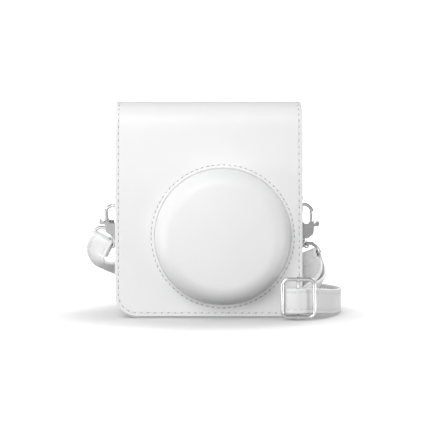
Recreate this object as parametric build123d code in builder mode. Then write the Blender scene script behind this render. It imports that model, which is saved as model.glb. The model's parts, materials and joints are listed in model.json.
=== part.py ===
"""An instant camera in its fitted case, with a hinged flap, a lens dome and a clip-on strap.

Millimetres. +Z is up, the front faces -Y, and the origin is the centre of the case's base.
The case is a sewn tub of leather-covered board. One leather flap is sewn to its back, folds
over the top and hangs down the front, and carries the round dome that covers the lens.
"""

from build123d import *
from math import cos, pi, radians, sin, sqrt, tan
import os

os.makedirs("parts", exist_ok=True)

# ---- driving dimensions: the case ------------------------------------------------------
FLAP_WIDTH = 112.0
CASE_HEIGHT = 131.0
FLAP_BOTTOM = 1.0  # the flap stops this far above the base
FLAP_CORNER = 13.0
FRONT_Y = -28.0  # outer face of the closed flap
BACK_Y = 28.0  # outer face of the flap's strip on the back
SKIN = 1.5  # leather and board
FLAP_LINING = 0.9
FLAP_THICK = SKIN + FLAP_LINING
FRONT_FOLD_R = 16.0
BACK_FOLD_R = 12.0
BACK_STRIP_FOOT = 104.0
STITCH_MARGIN = 1.0  # the flap's lining stops this far inside its edge

TUB_WIDTH = 109.2
TUB_WALL = 1.8
TUB_CORNER = 11.6
TUB_FRONT = -25.2
TUB_BACK = 25.6
TUB_TOP = 128.2
LINING = 0.5
LIP_TOP = 46.0
LIP_NOTCH_R = 34.0
MAGNET_R = 3.5
MAGNETS = [(-44, 14), (44, 14)]

LENS_X = 8.3
LENS_Z = 48.8
DOME_R = 40.4
DOME_TOP_Y = -44.0
DOME_WALL = 2.0
DOME_RIM_R = 12.0
DOME_FLANGE_R = 44.5

# ---- driving dimensions: the camera ----------------------------------------------------
BODY_WIDTH = 104.0
BODY_BASE = 2.5
BODY_TOP = 125.5
BODY_FRONT = -23.0
BODY_BACK = 23.0
BODY_CORNER = 17.0
SHELL_WALL = 2.0
SHELL_SPLIT = 9.0  # the front and rear shells meet at this depth
VIEWFINDER = (-43.0, 94.0)
COUNTER = (22.0, 22.0)
FLASH = (33.0, 104.0)
SENSOR = (8.3, 108.0)
SHUTTER = (-38.0, 64.0)
LENS_RING_R = 28.0
BARREL_R = 20.0
RUNNING_FIT = 0.06
ROLLER_R = 4.0
ROLLER_Z = 107.0
ROLLER_GAP = 0.3
FRONT_ROLLER_Y = 8.0
ROLLER_HALF = 29.0
PACK_Y = 9.5

# ---- driving dimensions: hardware and strap --------------------------------------------
HARDWARE_Y = 6.0
TAB_X = 57.0
TAB_Z = 72.3
RIVET_UP = 16.0  # height of the tab's rivet above the D-ring's bar
RING_WIRE = 0.9
RING_LEAN = 8.0  # degrees that the side D-rings lean outward
CLASP_X = 60.3
HOOK_Z = 63.6  # centre of the hook arch, which hangs on the D-ring
CLASP_U = 4.5  # the clasp's spine and tip stand this far each side of its middle
CLASP_WIRE = 1.1
CLASP_ARCH = 16.7  # height of the hook arch's centre above the clasp's foot
PIVOT = (1.3, 6.6)
STRAP_RING_R = 8.4
EYE_R = 2.3
EYE_WIRE = 0.7
STRAP_WIDTH = 15.0
STRAP_THICK = 2.2
SLIDER_X = 52.4
SLIDER_Y = -40.5
SLIDER_HALF = 9.4
SLIDER_LOW = 1.9
SLIDER_HIGH = 24.1
LEAD_R = 3.0  # half the bulk of the curled strap
BAND_BASE = 3.8  # lower edge of the strap where it passes through the slider
COIL_CENTRE_Y = 64.0
COIL_HALF = (48.0, 26.0)

front_fold = (FRONT_Y + FRONT_FOLD_R, CASE_HEIGHT - FRONT_FOLD_R)
back_fold = (BACK_Y - BACK_FOLD_R, CASE_HEIGHT - BACK_FOLD_R)
half_flap = FLAP_WIDTH / 2
half_tub = TUB_WIDTH / 2
half_inside = half_tub - TUB_WALL
STANDING = (Align.CENTER, Align.CENTER, Align.MIN)


# ---- helpers ---------------------------------------------------------------------------
def front_plane(y):
    """Local x is +X and local y is +Z at depth y. A positive extrude goes towards -Y."""
    return Plane(origin=(0, y, 0), x_dir=(1, 0, 0), z_dir=(0, -1, 0))


def facing(x, y, z):
    """A plane at a point on the front, with its normal towards -Y."""
    return Plane(origin=(x, y, z), x_dir=(1, 0, 0), z_dir=(0, -1, 0))


def across(x, y, z):
    """A plane whose normal is +X, with local x along +Y and local y along +Z."""
    return Plane(origin=(x, y, z), x_dir=(0, 1, 0), z_dir=(1, 0, 0))


def save(piece, name):
    piece.part.label = name
    export_step(piece.part, f"parts/{name}.step")


def round_bottomed(half_width, top, base, corner):
    """An outline with a square top and two rounded lower corners."""
    with BuildSketch() as outline:
        with Locations((0, (top + base) / 2)):
            Rectangle(2 * half_width, top - base)
        fillet(outline.vertices().group_by(Axis.Y)[0], corner)
    return outline.sketch


def on_fold(centre, radius, angle):
    """A point on a fold: 0 degrees faces the back, 90 the top and 180 the front."""
    return (centre[0] + radius * cos(radians(angle)), centre[1] + radius * sin(radians(angle)))


def fold_band(centre, inner, outer, start, end):
    """A bent strip in the side plane, from one angle of a fold to another."""
    middle = (start + end) / 2
    with BuildSketch() as band:
        with BuildLine():
            far = ThreePointArc(*[on_fold(centre, outer, a) for a in (start, middle, end)])
            near = ThreePointArc(*[on_fold(centre, inner, a) for a in (start, middle, end)])
            Line(far @ 0, near @ 0)
            Line(far @ 1, near @ 1)
        make_face()
    return band.sketch


def unit(v):
    return v / v.length


# ---- the case's tub --------------------------------------------------------------------
def make_side_gusset():
    """One strip that is both sides and the bottom of the tub, in the shape of a U."""
    with BuildPart() as gusset:
        with BuildSketch(front_plane(TUB_BACK)):
            add(round_bottomed(half_tub, TUB_TOP, 0, TUB_CORNER))
            add(
                round_bottomed(half_inside, TUB_TOP + 9, TUB_WALL, TUB_CORNER - TUB_WALL),
                mode=Mode.SUBTRACT,
            )
        extrude(amount=TUB_BACK - TUB_FRONT)
        top = gusset.edges().filter_by(Axis.X).group_by(Axis.Z)[-1]
        fillet(top.group_by(Axis.Y)[0], FRONT_FOLD_R - FLAP_THICK - 0.4)
        top = gusset.edges().filter_by(Axis.X).group_by(Axis.Z)[-1]
        fillet(top.group_by(Axis.Y)[-1], BACK_FOLD_R - 1)
    save(gusset, "side_gusset")


def make_back_panel():
    with BuildPart() as panel:
        with BuildSketch(front_plane(TUB_BACK)):
            add(round_bottomed(half_inside, back_fold[1], TUB_WALL, TUB_CORNER - TUB_WALL))
            with Locations(VIEWFINDER):
                RectangleRounded(16, 13, 2.5, mode=Mode.SUBTRACT)
            with Locations(COUNTER):
                Circle(6, mode=Mode.SUBTRACT)
        extrude(amount=TUB_WALL)
    save(panel, "back_panel")


def make_front_lip():
    """The low front wall, cut away round the lens, with a pocket for each steel plate."""
    with BuildPart() as lip:
        with BuildSketch(front_plane(TUB_FRONT + TUB_WALL)):
            add(round_bottomed(half_inside, LIP_TOP, TUB_WALL, TUB_CORNER - TUB_WALL))
            with Locations((LENS_X, LENS_Z)):
                Circle(LIP_NOTCH_R, mode=Mode.SUBTRACT)
        extrude(amount=TUB_WALL)
        with BuildSketch(front_plane(TUB_FRONT + TUB_WALL)):
            with Locations(*MAGNETS):
                Circle(MAGNET_R)
        extrude(amount=0.9, mode=Mode.SUBTRACT)
    save(lip, "front_lip")

    with BuildPart() as plates:
        with BuildSketch(front_plane(TUB_FRONT + TUB_WALL)):
            with Locations(*MAGNETS):
                Circle(MAGNET_R - 0.1)
        extrude(amount=0.8)
    save(plates, "catch_plates")


def make_case_lining():
    inner = half_inside
    corner = TUB_CORNER - TUB_WALL
    with BuildPart() as lining:
        with BuildSketch(front_plane(TUB_BACK - TUB_WALL)):
            add(round_bottomed(inner, back_fold[1], TUB_WALL, corner))
            add(
                round_bottomed(inner - LINING, back_fold[1] + 5, TUB_WALL + LINING, corner - LINING),
                mode=Mode.SUBTRACT,
            )
        extrude(amount=TUB_BACK - TUB_FRONT - 2 * TUB_WALL)
        with BuildSketch(front_plane(TUB_BACK - TUB_WALL)):
            add(round_bottomed(inner, back_fold[1], TUB_WALL, corner))
            with Locations(VIEWFINDER):
                RectangleRounded(16, 13, 2.5, mode=Mode.SUBTRACT)
            with Locations(COUNTER):
                Circle(6, mode=Mode.SUBTRACT)
        extrude(amount=LINING)
        top = lining.edges().filter_by(Axis.X).group_by(Axis.Z)[-1]
        fillet(top.group_by(Axis.Y)[0], 12)
    save(lining, "case_lining")


# ---- the flap --------------------------------------------------------------------------
def make_flap():
    """The flap is cut at the middle of each fold, where it bends as it opens."""
    inner_back = BACK_FOLD_R - FLAP_THICK
    inner_front = FRONT_FOLD_R - FLAP_THICK
    side = across(-half_flap, 0, 0)
    with BuildPart() as back_strip:
        with BuildSketch(side):
            with Locations((BACK_Y - FLAP_THICK / 2, (BACK_STRIP_FOOT + back_fold[1]) / 2)):
                Rectangle(FLAP_THICK, back_fold[1] - BACK_STRIP_FOOT)
            add(fold_band(back_fold, inner_back, BACK_FOLD_R, 0, 45))
        extrude(amount=FLAP_WIDTH)
    save(back_strip, "flap_back_strip")

    with BuildPart() as top_panel:
        with BuildSketch(side):
            add(fold_band(back_fold, inner_back, BACK_FOLD_R, 45, 90))
            with Locations(((back_fold[0] + front_fold[0]) / 2, CASE_HEIGHT - FLAP_THICK / 2)):
                Rectangle(back_fold[0] - front_fold[0], FLAP_THICK)
            add(fold_band(front_fold, inner_front, FRONT_FOLD_R, 90, 135))
        extrude(amount=FLAP_WIDTH)
    save(top_panel, "flap_top_panel")

    with BuildPart() as front_panel:
        with BuildSketch(side):
            add(fold_band(front_fold, FRONT_FOLD_R - SKIN, FRONT_FOLD_R, 135, 180))
        extrude(amount=FLAP_WIDTH)
        with BuildSketch(front_plane(FRONT_Y + SKIN)):
            add(round_bottomed(half_flap, front_fold[1], FLAP_BOTTOM, FLAP_CORNER))
            with Locations((LENS_X, LENS_Z)):
                Circle(DOME_R + 0.1, mode=Mode.SUBTRACT)
        extrude(amount=SKIN)
    save(front_panel, "flap_front_panel")

    narrow = across(-half_flap + STITCH_MARGIN, 0, 0)
    with BuildPart() as front_lining:
        with BuildSketch(narrow):
            add(fold_band(front_fold, inner_front, FRONT_FOLD_R - SKIN, 135, 180))
        extrude(amount=FLAP_WIDTH - 2 * STITCH_MARGIN)
        with BuildSketch(front_plane(FRONT_Y + FLAP_THICK)):
            add(
                round_bottomed(
                    half_flap - STITCH_MARGIN,
                    front_fold[1],
                    FLAP_BOTTOM + STITCH_MARGIN,
                    FLAP_CORNER - STITCH_MARGIN,
                )
            )
            with Locations((LENS_X, LENS_Z)):
                Circle(DOME_FLANGE_R + 0.1, mode=Mode.SUBTRACT)
            with Locations(*MAGNETS):
                Circle(MAGNET_R, mode=Mode.SUBTRACT)
        extrude(amount=FLAP_LINING)
    save(front_lining, "flap_front_lining")

    with BuildPart() as magnets:
        with BuildSketch(front_plane(FRONT_Y + FLAP_THICK)):
            with Locations(*MAGNETS):
                Circle(MAGNET_R - 0.1)
        extrude(amount=FLAP_LINING)
    save(magnets, "closure_magnets")


def make_dome():
    """A moulded cup: a nearly flat crown, a large rounded rim, and a flange behind the flap."""
    foot = FRONT_Y + FLAP_THICK
    ledge = FRONT_Y + SKIN
    crown_drop = 1.1

    def half_section(radius, top, rim):
        """Crown arc, rim arc and the straight side, as points (r, y)."""
        shoulder = radius - rim
        crown_r = (shoulder**2 + crown_drop**2) / (2 * crown_drop)
        crown_mid = top + crown_r - sqrt(crown_r**2 - shoulder**2 / 4)
        rim_mid = (shoulder + rim * sin(pi / 4), top + crown_drop + rim * (1 - cos(pi / 4)))
        return [
            (0, top),
            (shoulder / 2, crown_mid),
            (shoulder, top + crown_drop),
            rim_mid,
            (radius, top + crown_drop + rim),
        ]

    with BuildPart() as dome:
        with BuildSketch(Plane(origin=(LENS_X, 0, LENS_Z), x_dir=(1, 0, 0), z_dir=(0, 0, 1))):
            with BuildLine():
                outer = half_section(DOME_R, DOME_TOP_Y, DOME_RIM_R)
                inner = half_section(DOME_R - DOME_WALL, DOME_TOP_Y + DOME_WALL, DOME_RIM_R - 0.5)
                ThreePointArc(outer[0], outer[1], outer[2])
                ThreePointArc(outer[2], outer[3], outer[4])
                Polyline(
                    outer[4],
                    (DOME_R, ledge),
                    (DOME_FLANGE_R, ledge),
                    (DOME_FLANGE_R, foot),
                    (DOME_R - DOME_WALL, foot),
                    inner[4],
                )
                ThreePointArc(inner[4], inner[3], inner[2])
                ThreePointArc(inner[2], inner[1], inner[0])
                Line(inner[0], outer[0])
            make_face()
        revolve(axis=Axis((LENS_X, 0, LENS_Z), (0, 1, 0)))
    save(dome, "lens_dome")


# ---- side tabs and D-rings -------------------------------------------------------------
def tab_plane(side):
    """Local x points out of the case's side and local y up, from the level of the D-ring's bar."""
    return Plane(
        origin=(side * half_tub, HARDWARE_Y, TAB_Z), x_dir=(side, 0, 0), z_dir=(0, -side, 0)
    )


def make_side_tabs():
    """A leather tab on each side, riveted to the gusset and looped round a D-ring's bar."""
    bar = TAB_X - half_tub
    outer = RING_WIRE + 1.0
    with BuildPart() as tabs:
        for side in (-1, 1):
            plane = tab_plane(side)
            with BuildSketch(plane):
                with BuildLine():
                    Polyline(
                        (0, 1.0), (0, 26), (1.2, 26), (1.2, 5), (bar + 1.1, outer * 0.8), (bar, 0),
                        (bar, -outer), (bar - 1.9, -outer), (0, -1.4), (0, 1.0),
                    )
                make_face()
                with Locations((bar, 0)):
                    Circle(outer)
                    Circle(RING_WIRE + 0.1, mode=Mode.SUBTRACT)
            extrude(amount=5, both=True)
            with Locations(Location(plane.from_local_coords((0, RIVET_UP, 0)), (0, side * 90, 0))):
                Cylinder(1.6, 8, mode=Mode.SUBTRACT)
    save(tabs, "side_tabs")

    with BuildPart() as rivets:
        for side in (-1, 1):
            foot = tab_plane(side).from_local_coords((0, RIVET_UP, 0))
            with Locations(Location(foot, (0, side * 90, 0))):
                Cylinder(1.5, 1.6, align=STANDING)
                with Locations((0, 0, 1.25)):
                    Cylinder(2.6, 0.6, align=STANDING)
    save(rivets, "tab_rivets")


def make_d_rings():
    """On each side a wire D, whose straight bar lies in the tab. It leans out to the clasp."""
    lean = radians(RING_LEAN)
    corner = 6.3
    with BuildPart() as rings:
        for side in (-1, 1):
            plane = Plane(
                origin=(side * TAB_X, HARDWARE_Y, TAB_Z),
                x_dir=(0, 1, 0),
                z_dir=(cos(lean), 0, side * sin(lean)),
            )
            start = plane.from_local_coords((corner, 0, 0))
            end = plane.from_local_coords((-corner, 0, 0))
            with BuildLine(plane) as bow:
                Line((corner, 0), (corner, -2.1))
                ThreePointArc((corner, -2.1), (0, -8.4), (-corner, -2.1))
                Line((-corner, -2.1), (-corner, 0))
            with BuildSketch(Plane(origin=start, z_dir=-plane.y_dir)):
                Circle(RING_WIRE)
            sweep(path=bow.wires()[0])
            with Locations(Location((side * TAB_X, HARDWARE_Y, TAB_Z), (90, 0, 0))):
                Cylinder(RING_WIRE, 2 * corner)
            with Locations(start, end):
                Sphere(RING_WIRE)
    save(rings, "side_d_rings")


# ---- clasps, swivels and strap rings ---------------------------------------------------
def make_clasp(plane, name):
    """A lobster clasp: a hooked body with a slotted cheek, a sprung gate and a cross pin."""
    spine = plane.from_local_coords((CLASP_U, 4.0, 0))
    tip = plane.from_local_coords((-CLASP_U, CLASP_ARCH - 3.2, 0))
    with BuildPart() as body:
        with BuildLine(plane) as hook:
            Line((CLASP_U, 4.0), (CLASP_U, CLASP_ARCH))
            ThreePointArc((CLASP_U, CLASP_ARCH), (0, CLASP_ARCH + CLASP_U), (-CLASP_U, CLASP_ARCH))
            Line((-CLASP_U, CLASP_ARCH), (-CLASP_U, CLASP_ARCH - 3.2))
        with BuildSketch(Plane(origin=spine, z_dir=plane.y_dir)):
            Circle(CLASP_WIRE)
        sweep(path=hook.wires()[0])
        with Locations(tip):
            Sphere(CLASP_WIRE)
        with BuildSketch(plane):
            with BuildLine():
                Polyline(
                    (-2.0, 0), (2.0, 0), (5.2, 2.6), (5.6, 5.0), (5.6, 10.6), (3.4, 10.6),
                    (2.6, 9.2), (-2.2, 9.0), (-3.4, 5.6), (-2.0, 0),
                )
            make_face()
        extrude(amount=2.4, both=True)
        with BuildSketch(plane):
            with Locations((2.2, 7.2)):
                Rectangle(14, 5.6)
        extrude(amount=0.95, both=True, mode=Mode.SUBTRACT)
        with BuildSketch(plane):
            with Locations(PIVOT):
                Circle(0.6)
        extrude(amount=4, both=True, mode=Mode.SUBTRACT)
        with BuildSketch(Plane(origin=plane.from_local_coords((0, -0.1, 0)), z_dir=plane.y_dir)):
            Circle(1.3)
        extrude(amount=3.3, mode=Mode.SUBTRACT)
    save(body, f"clasp_body_{name}")

    with BuildPart() as gate:
        with BuildSketch(plane):
            with BuildLine():
                Polyline(
                    (0.2, 5.0), (3.0, 5.0), (6.6, 7.6), (8.4, 7.4), (9.3, 8.6), (9.0, 10.4),
                    (7.6, 10.8), (6.6, 9.4), (2.6, 8.2), (0.6, 8.6), (-3.4, 12.6), (-4.3, 11.8),
                    (-4.3, 10.8), (0.2, 5.0),
                )
            make_face()
            with Locations(PIVOT):
                Circle(0.6 + RUNNING_FIT, mode=Mode.SUBTRACT)
        extrude(amount=0.8, both=True)
    save(gate, f"clasp_gate_{name}")


def make_clasp_pins(planes):
    with BuildPart() as pins:
        for plane in planes:
            with BuildSketch(plane):
                with Locations(PIVOT):
                    Circle(0.6)
            extrude(amount=2.5, both=True)
    save(pins, "clasp_pins")


def make_swivel(plane, along, name):
    """A post in the clasp's foot and a wire eye. The strap ring's wire runs along `along`."""
    up = plane.y_dir
    lift = unit(up - along * up.dot(along))
    top = plane.from_local_coords((0, -1.5, 0))
    centre = top - lift * EYE_R
    with BuildPart() as swivel:
        with BuildSketch(Plane(origin=plane.from_local_coords((0, 3.0, 0)), z_dir=-up)):
            Circle(1.3 - RUNNING_FIT)
        extrude(amount=4.7)
        with Locations(Plane(origin=centre, z_dir=along).location):
            Torus(EYE_R, EYE_WIRE)
    save(swivel, f"swivel_{name}")
    return centre


def make_strap_ring(eye, bar_dir, apex_dir, turn, name):
    """A wire D. Its bow passes through the eye, `turn` degrees along from the bow's top."""
    a = radians(turn)
    centre = eye - (apex_dir * cos(a) + bar_dir * sin(a)) * STRAP_RING_R
    plane = Plane(origin=centre, x_dir=bar_dir, z_dir=bar_dir.cross(apex_dir))
    ends = [plane.from_local_coords((s * STRAP_RING_R, 0, 0)) for s in (1, -1)]
    with BuildPart() as ring:
        with BuildLine(plane) as bow:
            ThreePointArc((STRAP_RING_R, 0), (0, STRAP_RING_R), (-STRAP_RING_R, 0))
        with BuildSketch(Plane(origin=ends[0], z_dir=plane.y_dir)):
            Circle(CLASP_WIRE)
        sweep(path=bow.wires()[0])
        with BuildSketch(Plane(origin=ends[0], z_dir=-bar_dir)):
            Circle(CLASP_WIRE)
        extrude(amount=2 * STRAP_RING_R)
        with Locations(*ends):
            Sphere(CLASP_WIRE)
    save(ring, f"strap_ring_{name}")
    return centre


def clasp_plane(side, hook_z, lean_back):
    """The clasp's own plane. It hangs from its hook and leans back by some degrees."""
    a = radians(lean_back)
    up = Vector(0, -sin(a), cos(a))
    foot = Vector(side * CLASP_X, HARDWARE_Y, hook_z) - up * CLASP_ARCH
    x_dir = Vector(side, 0, 0)
    return Plane(origin=foot, x_dir=x_dir, z_dir=x_dir.cross(up))


# ---- the strap -------------------------------------------------------------------------
def band_section(centre, width_dir, run_dir, thick):
    """A cross-section of the strap, square to its run."""
    run = unit(Vector(*run_dir))
    width = unit(Vector(*width_dir) - run * Vector(*width_dir).dot(run))
    with BuildSketch(Plane(origin=centre, x_dir=width, z_dir=run)) as section:
        Rectangle(STRAP_WIDTH, thick)
    return section.sketch


def make_lofted_band(stations, name):
    with BuildPart() as band:
        for station in stations:
            add(band_section(*station))
        loft(ruled=True)
    save(band, name)


def make_strap_lead(start):
    """From the left strap ring, curling out and round the case's back corner, to the roll."""
    points = [
        start,
        Vector(-71.4, 22.6, 36.4),
        Vector(-68.2, 25.6, 30.6),
        Vector(-60.0, 30.6, 25.4),
        Vector(-46.5, 34.2, 17.0),
        Vector(-34.0, 34.6, 10.6),
    ]
    runs = [points[i + 1] - points[i] for i in range(len(points) - 1)]
    radii = []
    for before, after in zip(runs, runs[1:]):
        turn = radians(before.get_angle(after))
        radii.append(0.45 * min(before.length, after.length) / tan(turn / 2))
    print("strap_lead radii", [round(r, 1) for r in radii])
    with BuildPart() as lead:
        with BuildLine() as path:
            FilletPolyline(*points, radius=radii)
        with BuildSketch(Plane(origin=start, z_dir=unit(runs[0]))):
            Circle(LEAD_R)
        sweep(path=path.wires()[0])
    print("strap_lead volume", lead.part.volume, pi * LEAD_R**2 * path.wires()[0].length)
    save(lead, "strap_lead")


def make_strap_coil():
    """The stored length: a loose flat roll that stands on the floor behind the case."""
    with BuildPart() as coil:
        with BuildSketch(Plane.XY.offset(0.3)):
            with Locations((0, COIL_CENTRE_Y)):
                SlotOverall(2 * COIL_HALF[0], 2 * COIL_HALF[1])
        extrude(amount=STRAP_WIDTH)
    save(coil, "strap_coil")


def make_strap_band():
    """From the roll's back, round the case's right side, to the fold round the slider's bar."""
    with BuildPart() as band:
        with BuildSketch(Plane.XY.offset(BAND_BASE)):
            with BuildLine():
                Spline(
                    (26, 91.1), (54, 80), (75, 52), (83, 18), (76, -14), (67, -30.5), (59.5, -37.2),
                    (SLIDER_X, -40.9), (46.8, -40.0), (45.6, -37.6), (47.4, -35.6), (51.5, -35.2),
                    tangents=[(1, 0), (1, 0.1)],
                )
            trace(line_width=STRAP_THICK)
        extrude(amount=STRAP_WIDTH)
    save(band, "strap_band")


def make_slider():
    wire = 1.1
    middle = (SLIDER_LOW + SLIDER_HIGH) / 2
    plane = facing(SLIDER_X, SLIDER_Y, middle)
    half_height = (SLIDER_HIGH - SLIDER_LOW) / 2
    with BuildSketch(plane) as loop:
        RectangleRounded(2 * SLIDER_HALF, 2 * half_height, 3.4)
    path = loop.sketch.face().outer_wire()
    with BuildPart() as frame:
        with BuildSketch(Plane(origin=path @ 0, z_dir=path % 0)):
            Circle(wire)
        sweep(path=path)
    save(frame, "slider_frame")

    hole = wire + RUNNING_FIT
    eye = hole + 0.5
    bar_y = SLIDER_Y + 2.6
    with BuildPart() as bar:
        with BuildSketch(Plane(origin=(SLIDER_X, bar_y, SLIDER_LOW), z_dir=(0, 0, 1))):
            Circle(0.85)
        extrude(amount=SLIDER_HIGH - SLIDER_LOW)
        for z in (SLIDER_LOW, SLIDER_HIGH):
            with BuildSketch(across(SLIDER_X, SLIDER_Y, z)):
                Circle(eye)
                with Locations((1.6, 0)):
                    Rectangle(2.4, 1.9)
            extrude(amount=1.0, both=True)
        for z in (SLIDER_LOW, SLIDER_HIGH):
            with BuildSketch(across(SLIDER_X, SLIDER_Y, z)):
                Circle(hole)
            extrude(amount=3, both=True, mode=Mode.SUBTRACT)
    save(bar, "slider_bar")


# ---- the camera's shells ---------------------------------------------------------------
def shell_outline(inset=0.0):
    with BuildSketch() as outline:
        with Locations((0, (BODY_BASE + BODY_TOP) / 2)):
            RectangleRounded(
                BODY_WIDTH - 2 * inset, BODY_TOP - BODY_BASE - 2 * inset, BODY_CORNER - inset
            )
    return outline.sketch


def make_front_shell():
    with BuildPart() as shell:
        with BuildSketch(front_plane(SHELL_SPLIT)):
            add(shell_outline())
        extrude(amount=SHELL_SPLIT - BODY_FRONT)
        fillet(shell.faces().sort_by(Axis.Y)[0].edges(), 6)
        with BuildSketch(front_plane(SHELL_SPLIT)):
            add(shell_outline(SHELL_WALL))
        extrude(amount=SHELL_SPLIT - BODY_FRONT - 3, mode=Mode.SUBTRACT)
        with BuildSketch(front_plane(BODY_FRONT + 5)):
            with Locations((LENS_X, LENS_Z)):
                Circle(LENS_RING_R + 0.3)
            with Locations(VIEWFINDER):
                RectangleRounded(12, 9, 1.5)
            with Locations(FLASH):
                RectangleRounded(26, 16, 2)
            with Locations(SENSOR):
                Circle(2.5)
            with Locations(SHUTTER):
                Circle(6.5)
        extrude(amount=8, mode=Mode.SUBTRACT)
        with BuildSketch(Plane.XY.offset(BODY_BASE - 1)):
            with Locations((-2, -6)):
                Rectangle(52.3, 26.3)
        extrude(amount=SHELL_WALL + 2, mode=Mode.SUBTRACT)
    save(shell, "camera_front_shell")

    with BuildPart() as battery_door:
        with BuildSketch(Plane.XY.offset(BODY_BASE)):
            with Locations((-2, -6)):
                Rectangle(52, 26)
        extrude(amount=SHELL_WALL - 0.2)
    save(battery_door, "battery_door")


def make_rear_shell():
    door = (64.4, 98.4)
    door_z = 57.0
    with BuildPart() as shell:
        with BuildSketch(front_plane(BODY_BACK)):
            add(shell_outline())
        extrude(amount=BODY_BACK - SHELL_SPLIT)
        fillet(shell.faces().sort_by(Axis.Y)[-1].edges(), 5)
        with BuildSketch(front_plane(BODY_BACK - SHELL_WALL)):
            add(shell_outline(SHELL_WALL + 0.8))
        extrude(amount=BODY_BACK - SHELL_WALL - SHELL_SPLIT, mode=Mode.SUBTRACT)
        with BuildSketch(front_plane(BODY_BACK + 1)):
            with Locations((LENS_X, door_z)):
                RectangleRounded(*door, 4)
            with Locations(VIEWFINDER):
                RectangleRounded(12, 9, 1.5)
        extrude(amount=SHELL_WALL + 2, mode=Mode.SUBTRACT)
        with BuildSketch(Plane.XY.offset(BODY_TOP - 5)):
            with Locations((LENS_X, 12.2)):
                Rectangle(57, 2.4)
        extrude(amount=8, mode=Mode.SUBTRACT)
    save(shell, "camera_rear_shell")

    with BuildPart() as film_door:
        with BuildSketch(front_plane(BODY_BACK)):
            with Locations((LENS_X, door_z)):
                RectangleRounded(door[0] - 0.4, door[1] - 0.4, 3.8)
            with Locations(COUNTER):
                Circle(4.1, mode=Mode.SUBTRACT)
        extrude(amount=SHELL_WALL)
    save(film_door, "film_door")

    with BuildPart() as counter_window:
        with BuildSketch(front_plane(BODY_BACK - 0.3)):
            with Locations(COUNTER):
                Circle(4.05)
        extrude(amount=1.4)
    save(counter_window, "counter_window")


# ---- the camera's optics ---------------------------------------------------------------
def ring_sketch(outer, inner):
    with BuildSketch() as ring:
        Circle(outer)
        Circle(inner, mode=Mode.SUBTRACT)
    return ring.sketch


def make_lens():
    """Ring depths run forward, from the film towards -Y."""
    with BuildPart() as bezel:
        with BuildSketch(facing(LENS_X, BODY_FRONT, LENS_Z)):
            add(ring_sketch(32.5, LENS_RING_R + 0.3))
        extrude(amount=4.2)
        fillet(bezel.edges().group_by(Axis.Y)[0].sort_by(SortBy.LENGTH)[-1], 2)
    save(bezel, "lens_bezel")

    with BuildPart() as turning_ring:
        with BuildSketch(facing(LENS_X, -20.4, LENS_Z)):
            add(ring_sketch(LENS_RING_R, BARREL_R + RUNNING_FIT))
        extrude(amount=13.6)
        fillet(turning_ring.edges().group_by(Axis.Y)[0].sort_by(SortBy.LENGTH)[-1], 2.5)
        with BuildSketch(facing(LENS_X, -27.6, LENS_Z)):
            with PolarLocations(LENS_RING_R + 0.1, 30):
                Rectangle(0.9, 1.4)
        extrude(amount=3.6)
    save(turning_ring, "lens_turning_ring")

    with BuildPart() as barrel:
        with BuildSketch(facing(LENS_X, -20.4, LENS_Z)):
            add(ring_sketch(BARREL_R, 15.0))
        extrude(amount=12.6)
        with BuildSketch(facing(LENS_X, -21.4, LENS_Z)):
            add(ring_sketch(16.0, 11.0))
        extrude(amount=1.5)
        chamfer(barrel.edges().group_by(Axis.Y)[0].sort_by(SortBy.LENGTH)[0], 1.2)
    save(barrel, "lens_barrel")

    with BuildPart() as glass:
        with BuildSketch(Plane(origin=(LENS_X, 0, LENS_Z), x_dir=(1, 0, 0), z_dir=(0, 0, 1))):
            with BuildLine():
                ThreePointArc((0, -31.4), (7.5, -30.9), (14.95, -29.2))
                Polyline((14.95, -29.2), (14.95, -27.2), (0, -27.2), (0, -31.4))
            make_face()
        revolve(axis=Axis((LENS_X, 0, LENS_Z), (0, 1, 0)))
        with BuildSketch(facing(LENS_X, -22.9, LENS_Z)):
            Circle(13)
        extrude(amount=2.2)
    save(glass, "lens_glass")

    with BuildPart() as shutter_plate:
        with BuildSketch(facing(LENS_X, -18.0, LENS_Z)):
            add(ring_sketch(31.0, 6.0))
        extrude(amount=1.8)
    save(shutter_plate, "shutter_plate")

    with BuildPart() as blade:
        with BuildSketch(facing(LENS_X, -17.2, LENS_Z)):
            Circle(8)
            with Locations((0, 6)):
                RectangleRounded(9, 20, 2)
        extrude(amount=0.5)
    save(blade, "shutter_blade")

    with BuildPart() as chamber:
        with BuildSketch(front_plane(PACK_Y - 0.2)):
            with Locations((LENS_X, LENS_Z)):
                Rectangle(50, 66)
        with BuildSketch(front_plane(-16.6)):
            with Locations((LENS_X, LENS_Z)):
                Rectangle(30, 34)
        loft()
        with BuildSketch(front_plane(PACK_Y - 0.2)):
            with Locations((LENS_X, LENS_Z)):
                Rectangle(47.6, 63.6)
        with BuildSketch(front_plane(-16.6)):
            with Locations((LENS_X, LENS_Z)):
                Rectangle(27.6, 31.6)
        loft(mode=Mode.SUBTRACT)
    save(chamber, "exposure_chamber")


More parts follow.
